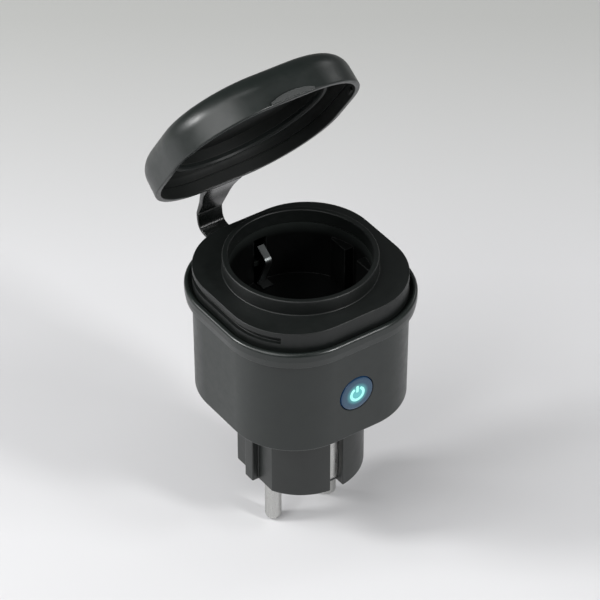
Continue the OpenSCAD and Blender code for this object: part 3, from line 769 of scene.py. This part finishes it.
def make_earth_parts():
    """The bowed strips in the plug's grooves, and the sprung clips in the socket."""
    low, high = box("plug_earth_strips")
    thick = 0.85
    y = thick / 2 - high.y
    path = [(y + 0.5, low.z + 0.05), (y, low.z + 0.9), (y - 0.12, 9.0), (y, 17.0), (y, high.z)]
    strips = pair(strip(path, [0, 0.8, 20.0, 20.0, 0], thick, 4.0, "plug_earth_straps"))
    place(strips, "root", pin_metal, "pin_metal", "plug_earth_strips")
    path = [(-19.7, 62.3), (-15.3, 59.4), (-19.4, FLOOR), (-19.4, 43.0)]
    clips = strip(path, [0, 1.6, 1.2, 0], 0.6, 2.2, "socket_earth_clips")
    foot = as_object(block((-1.7, -19.1, FLOOR + 0.14), (1.7, -15.75, FLOOR + 0.42)), "foot")
    soften(foot, 0.08, 50)
    combine(clips, "UNION", as_bmesh(foot))
    place(pair(clips), "root", contact_metal, "contact_metal", "earth_clips")


# ---- Button ----

def symbol_outline():
    """Ring open at the top with a bar in the opening, as two closed outlines."""
    out, inner = 2.45, 1.55
    half = math.radians(27)
    steps = 40
    angles = [math.pi / 2 + half + (2 * math.pi - 2 * half) * k / steps for k in range(steps + 1)]
    ring = [(out * math.cos(a), out * math.sin(a)) for a in angles]
    ring += [(inner * math.cos(a), inner * math.sin(a)) for a in reversed(angles)]
    wide, foot, tip = 0.42, 0.5, 2.75
    bar = fillet([(0.0, foot), (wide, foot), (wide, tip), (-wide, tip), (-wide, foot), (0.0, foot)],
                 [0, 0.3, 0.3, 0.3, 0.3, 0])[:-1]
    return ring, bar


def make_button():
    """The round lens with its flange and stem, and the lit symbol let into its face."""
    top, sunk = 0.2, 0.3
    section = [(0.5, -2.9), (6.4, -2.9), (6.4, -2.15), (BUTTON_R, -2.1), (BUTTON_R, top - 0.45),
               (BUTTON_R - 0.12, top - 0.2), (BUTTON_R - 0.4, top - 0.07), (BUTTON_R - 0.9, top - 0.02),
               (3.2, top), (0.5, top)]
    cap = as_object(lathe(section, AT_BUTTON, 24, closed=False), "button_lens")
    outlines = symbol_outline()
    combine(cap, "DIFFERENCE", *[extrude(outline, top - sunk, top + 1, AT_BUTTON) for outline in outlines])
    combine(cap, "UNION", cylinder(1.6, -3.55, -2.8, AT_BUTTON, HIDDEN_SEG))
    centre = (AT_BUTTON @ Vector((0, 0, top))) * MM
    place(cap, "button", lens_material(centre), "button_plastic", "button_cap")
    strokes = [extrude(outline, top - sunk, top - 0.01, AT_BUTTON) for outline in outlines]
    symbol = as_object(join(*strokes), "power_symbol")
    place(symbol, "button", glow_material(), "icon_light", "power_icon")


# ---- Lid and strap ----

EDGE_R, LID_WALL, LID_DRAFT = 6.1, 1.85, 0.03
LID_BEND = LID_TOP - EDGE_R               # where the lid's wall turns over into its top
LID_HIGH_R = LID_R - LID_DRAFT * (LID_BEND - RIM)
LID_INNER_R = LID_R - LID_WALL


def quarter_arc(centre_r, centre_z, radius, start, end, steps):
    """Section points on an arc between two angles, counted from outwards towards up."""
    out = []
    for k in range(steps + 1):
        a = math.radians(start + (end - start) * k / steps)
        out.append((centre_r + radius * math.cos(a), centre_z + radius * math.sin(a)))
    return out


def lid_section():
    """The lid's wall and top, with a step and a fine groove inside the rim."""
    step_r, groove_r = LID_INNER_R + 0.3, LID_INNER_R + 0.62
    turn_r = LID_HIGH_R - EDGE_R
    section = [(turn_r - 4.0, LID_TOP)]
    section += quarter_arc(turn_r, LID_BEND, EDGE_R, 90, 0, 16)
    section += fillet([(LID_HIGH_R, LID_BEND - 0.3), (LID_R, RIM), (step_r, RIM),
                       (step_r, RIM + 3.2), (groove_r, RIM + 3.3),
                       (groove_r, RIM + 3.6), (LID_INNER_R, RIM + 3.7), (LID_INNER_R, LID_BEND - 0.4)],
                      [0, 0.42, 0.2, 0, 0, 0, 0.08, 0])
    section += quarter_arc(turn_r, LID_BEND, EDGE_R - LID_WALL, 0, 90, 10)
    section.append((turn_r - 3.0, LID_TOP - LID_WALL))
    return section


def thumb_lip():
    """Shallow bowed lip over the front of the rim: its face leans back towards the rim."""
    high, bow, half, lean = 1.8, 20.0, 6.9, 0.085
    outline = [(-half, 0.0), (half, 0.0)]
    steps = 18
    for k in range(steps + 1):
        x = half * (1 - 2 * k / steps)
        outline.append((x, high - bow + math.sqrt(bow ** 2 - x ** 2)))
    rings = []
    for depth, across, up in ((0.0, 1.0, 1.0), (1.4, 1.0, 1.0), (1.49, 0.985, 0.96)):
        rings.append([(x * across, 0.3 + z * up, depth * (1 - lean * (high - z))) for x, z in outline])
    lip = loft(rings)
    lip.transform(Matrix.Translation((0, lid_low.y + 1.5, RIM)) @ Matrix.Rotation(math.pi / 2, 4, "X"))
    return lip


def snap_catch(side):
    """Low ridge inside a front corner, which snaps into the cover's groove."""
    buried, proud, start, turn, steps = LID_INNER_R + 0.8, LID_INNER_R - 0.2, -3.0, -10.0, 6
    profile = fillet([(buried, RIM + 0.6), (proud, RIM + 1.0), (proud, RIM + 1.8), (buried, RIM + 2.4)],
                     [0, 0.15, 0.15, 0])
    rings = []
    for k in range(steps + 1):
        a = math.radians(start + turn * k / steps)
        rings.append([(side * (LID_C + r * math.cos(a)), -LID_C + r * math.sin(a), z) for r, z in profile])
    return loft(rings)


def is_inside_lid(point):
    """Whether a point of the shut lid lies on its inner surface."""
    x, y, z = point
    outward = math.hypot(max(abs(x) - LID_C, 0.0), max(abs(y) - LID_C, 0.0))
    from_edge = math.hypot(max(outward - LID_HIGH_R + EDGE_R, 0.0), max(z - LID_BEND, 0.0))
    return z > RIM + 0.2 and outward < LID_INNER_R + 0.7 and from_edge < EDGE_R - LID_WALL / 2


def make_lid():
    """Domed lid with its rib, catches and thumb lip, and the sealing ring on the rib."""
    obj = as_object(sweep(lid_section(), LID_C), "lid_dome")
    rib_out, rib_in, rib_low, rib_root = 23.9, 22.9, RIM + 6.6, LID_TOP - LID_WALL + 0.5
    rib = lathe(fillet([(rib_out, rib_root), (rib_out, rib_low), (rib_in, rib_low), (rib_in, rib_root)],
                       [0, 0.2, 0.2, 0]))
    combine(obj, "UNION", rib, thumb_lip(), *[snap_catch(side) for side in (1, -1)])
    obj.data.transform(TO_OPEN)
    place(obj, "lid", housing_plastic, "housing_plastic", "lid_shell", angle=30)
    # the inner faces get the darker copy: painted shade inside the lid
    obj.data.materials.append(shaded_lid_inner_plastic)
    to_shut = TO_OPEN.inverted()
    for face in obj.data.polygons:
        if is_inside_lid(to_shut @ (face.center / MM)):
            face.material_index = 1
    top, waist, foot = RIM + 6.58, RIM + 5.6, RIM + 4.87
    seal = fillet([(23.0, top), (22.8, waist), (22.95, foot), (23.95, foot), (24.1, waist), (23.8, top)],
                  [0, 0.3, 0.25, 0.25, 0.3, 0])
    ring = as_object(lathe(seal), "lid_seal_ring")
    ring.data.transform(TO_OPEN)
    place(ring, "lid", seal_rubber, "seal_rubber", "lid_gasket")


def smooth_stations(stations, crease, per=8):
    """Stations of (point, width, thickness) with smooth curves between them, and a crease at one."""
    points = [Vector(point) for point, width, thick in stations]
    last = len(points) - 1
    fine = []
    for k in range(last):
        here, there = points[k], points[k + 1]
        before, beyond = points[max(k - 1, 0)], points[min(k + 2, last)]
        span = there - here
        leave = span if k == crease else (there - before) / 2
        arrive = span if k + 1 == crease else (beyond - here) / 2
        leave = leave * min(1.0, span.length / leave.length)
        arrive = arrive * min(1.0, span.length / arrive.length)
        for i in range(per):
            t = i / per
            point = (here * (2 * t ** 3 - 3 * t * t + 1) + leave * (t ** 3 - 2 * t * t + t)
                     + there * (3 * t * t - 2 * t ** 3) + arrive * (t ** 3 - t * t))
            sizes = [a + (b - a) * t for a, b in zip(stations[k][1:], stations[k + 1][1:])]
            fine.append((point, *sizes))
    fine.append((points[last], *stations[last][1:]))
    return fine


def strap_ring(point, along, width, thick):
    """Outline of the strap across its run, with rounded corners."""
    across = Vector((-along.y, along.x))
    r = min(0.28, thick * 0.32)
    flat = width / 2 - r - 0.3
    outline = []
    for side, face, start in ((1, 1, 0), (-1, 1, 90), (-1, -1, 180), (1, -1, 270)):
        for turn in range(0, 91, 15):
            a = math.radians(start + turn)
            u = side * (width / 2 - r) + r * math.cos(a)
            v = face * (thick / 2 - r) + r * math.sin(a)
            outline.append((u, v))
        if side == face:
            # two points in from the corners, so that the broad face is shaded flat
            outline += [(side * flat, face * thick / 2), (-side * flat, face * thick / 2)]
    return [(u, point.x + across.x * v, point.y + across.y * v) for u, v in outline]


def make_strap():
    """One moulded strap from the slot in the housing, round its crease, to the lid's rear wall."""
    def opened(y, z):
        p = TO_OPEN @ Vector((0, y, z))
        return p.y, p.z
    # (y, z), width and thickness: the first six are the housing's half, up to the crease
    stations = [((25.2, 53.95), 8.3, 0.9), ((41.3, 53.95), 8.3, 0.9), ((43.6, 54.5), 8.3, 0.9),
                ((44.75, 55.9), 8.3, 0.9), ((45.15, 58.0), 8.3, 0.9), ((45.2, 59.5), 8.3, 0.95),
                (opened(40.44, 62.8), 8.6, 1.6), (opened(35.3, 63.8), 10.3, 1.75),
                (opened(lid_high.y + 0.02, 63.75), 11.9, 1.75)]
    fine = smooth_stations(stations, crease=5)
    rings = []
    for k, (point, width, thick) in enumerate(fine):
        along = (fine[min(k + 1, len(fine) - 1)][0] - fine[max(k - 1, 0)][0]).normalized()
        rings.append(strap_ring(point, along, width, thick))
    obj = as_object(loft(rings), "lid_strap")
    bar = as_object(block((-5.9, 22.3, 53.15), (5.9, 25.4, 54.75)), "bar")
    soften(bar, 0.2, 50)
    combine(obj, "UNION", as_bmesh(bar))
    smooth(obj, 16.5)
    obj.data.transform(Matrix.Scale(MM, 4))
    obj.data.materials.append(strap_rubber)
    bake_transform(obj)
    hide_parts("strap_lower", "strap_upper")


make_housing()
make_band()
make_cover()
make_cup()
make_core()
make_pin(PIN_X, "plug_pin_right")
make_pin(-PIN_X, "plug_pin_left")
make_earth_parts()
make_button()
make_lid()
make_strap()


# ---- Parts inside the case, carried over from the frame ----

INSIDE = {
    "housing_seal": seal_rubber,
    "earth_bus": contact_metal,
    "contact_left": contact_metal,
    "contact_right": contact_metal,
    "shutter": socket_plastic,
    "shutter_spring": metal("spring_steel", (0.55, 0.55, 0.55), 0.25),
    "supply_wires": coated("wire_insulation", (0.2, 0.06, 0.03), 0.35),
    "main_board": coated("circuit_board", (0.02, 0.13, 0.06), 0.35, 500.0, 0.3),
    "relay": coated("relay_case", (0.03, 0.12, 0.4), 0.3),
    "transformer": coated("transformer_tape", (0.75, 0.5, 0.08), 0.3, 1400.0, 0.3),
    "capacitors": coated("capacitor_sleeve", (0.02, 0.025, 0.04), 0.25, 900.0, 0.3),
    "film_capacitor": coated("film_capacitor_case", (0.7, 0.55, 0.05), 0.35),
    "varistor": coated("varistor_coat", (0.03, 0.16, 0.4), 0.25, 900.0, 0.4),
    "fuse": coated("fuse_body", (0.7, 0.66, 0.56), 0.45),
    "wifi_module": coated("radio_board", (0.02, 0.06, 0.15), 0.35, 500.0, 0.3),
    "wifi_shield": metal("shield_can", (0.65, 0.65, 0.64), 0.3),
    "tact_switch": coated("switch_plastic", (0.03, 0.03, 0.035), 0.4),
    "leds": coated("led_body", (0.8, 0.85, 0.85), 0.15, 1500.0, 0.4),
    "light_guide": coated("light_guide_plastic", (0.7, 0.85, 0.9), 0.2, 1500.0, 0.3),
}
SAME = {
    "shutter_washer": "shutter_spring", "case_screws": "shutter_spring", "button_board": "main_board",
    "switch_plunger": "tact_switch",
}
EDGE_WIDTH = 0.06 * MM
for node, obj in frame["nodes"].items():
    if obj.hide_render:
        continue
    obj.data.materials.clear()
    obj.data.materials.append(INSIDE[SAME.get(node, node)])
    edge = obj.modifiers.new("soften", "BEVEL")
    edge.width, edge.segments = EDGE_WIDTH, 2
    edge.limit_method, edge.angle_limit = "ANGLE", math.radians(50)


# ---- Floor, light and camera ----

CAMERA_AT, CAMERA_TARGET = Vector((-0.4614, -0.6639, 0.6924)), Vector((0.0227, 0.0330, 0.0242))
PAINTED_FALLOFF_WAY = (0.5705, 0.8214, 0.0)        # painted shade: the floor is painted darker in this level direction, standing for light falloff


def aim(obj, target):
    """Turns a lamp or a camera towards the target."""
    obj.rotation_mode = "QUATERNION"
    obj.rotation_quaternion = (Vector(target) - obj.location).to_track_quat("-Z", "Y")


def area(name, position, target, width, height, power):
    """A rectangular lamp aimed at the target, in metres and watts."""
    lamp = bpy.data.lights.new(name, "AREA")
    lamp.shape, lamp.size, lamp.size_y = "RECTANGLE", width, height
    lamp.energy = power
    obj = bpy.data.objects.new(name, lamp)
    bpy.context.scene.collection.objects.link(obj)
    obj.location = position
    aim(obj, target)


def make_floor():
    """A pale floor, painted greyer behind the object as light falloff."""
    half = 12.0
    bm = bmesh.new()
    corners = ((-half, -half), (half, -half), (half, half), (-half, half))
    bm.faces.new([bm.verts.new((x, y, cad_bounds[0].z)) for x, y in corners])
    floor = as_object(bm, "floor")
    material, tree, shader = new_material("floor_paint")
    coords = object_coords(tree)
    cloud = noise(tree, coords, 3.0, 3.0)
    away = tree.nodes.new("ShaderNodeVectorMath")
    away.operation = "DOT_PRODUCT"
    away.inputs[1].default_value = PAINTED_FALLOFF_WAY
    tree.links.new(coords, away.inputs[0])
    # painted shade: 0 in front and 1 behind, where the floor is painted greyer as light falloff
    far = remap(tree, away.outputs["Value"], 0.11, 0.25, 0.0, 1.0)
    pale = mix(tree, cloud, (0.645, 0.645, 0.655), (0.675, 0.675, 0.685))
    tree.links.new(mix(tree, far, pale, (0.515, 0.52, 0.507)), shader.inputs["Base Color"])
    shader.inputs["Roughness"].default_value = 0.6
    shader.inputs["Specular IOR Level"].default_value = 0.2
    floor.data.materials.append(material)


def make_lights():
    """Soft lamps on the object, each placed for the highlight that it gives, and a dim grey world."""
    centre = (0.0, 0.0, 0.03)
    area("key_front", (0.25, -0.66, 0.46), centre, 0.12, 0.12, 3.1)
    area("side_left", (-0.66, 0.35, 0.50), centre, 0.18, 0.18, 4.5)
    area("top_soft", (-0.72, -0.14, 0.85), (-0.14, 0.06, 0.0), 0.8, 0.8, 7.2)
    area("overhead_strip", (-0.10, 0.05, 0.98), centre, 0.09, 0.70, 1.0)
    area("crest_front", (0.345, -0.56, 0.67), centre, 0.20, 0.045, 1.35)
    area("edge_right", (0.80, 0.14, 0.45), centre, 0.32, 0.24, 0.55)
    area("edge_back_left", (-0.58, 0.60, 0.42), centre, 0.14, 0.10, 1.0)
    world = bpy.data.worlds.new("studio")
    bpy.context.scene.world = world
    world.use_nodes = True
    background = world.node_tree.nodes["Background"]
    background.inputs["Color"].default_value = (0.95, 0.96, 0.97, 1.0)
    background.inputs["Strength"].default_value = 0.095


def make_camera():
    """The camera looks down on the front of the button's side, from the left."""
    data = bpy.data.cameras.new("camera")
    data.sensor_width, data.lens = 36.0, 224.4
    data.clip_start, data.clip_end = 0.05, 50.0
    camera = bpy.data.objects.new("camera", data)
    bpy.context.scene.collection.objects.link(camera)
    camera.location = CAMERA_AT
    aim(camera, CAMERA_TARGET)
    bpy.context.scene.camera = camera


bpy.context.scene.view_settings.view_transform = "Standard"
make_floor()
make_lights()
make_camera()
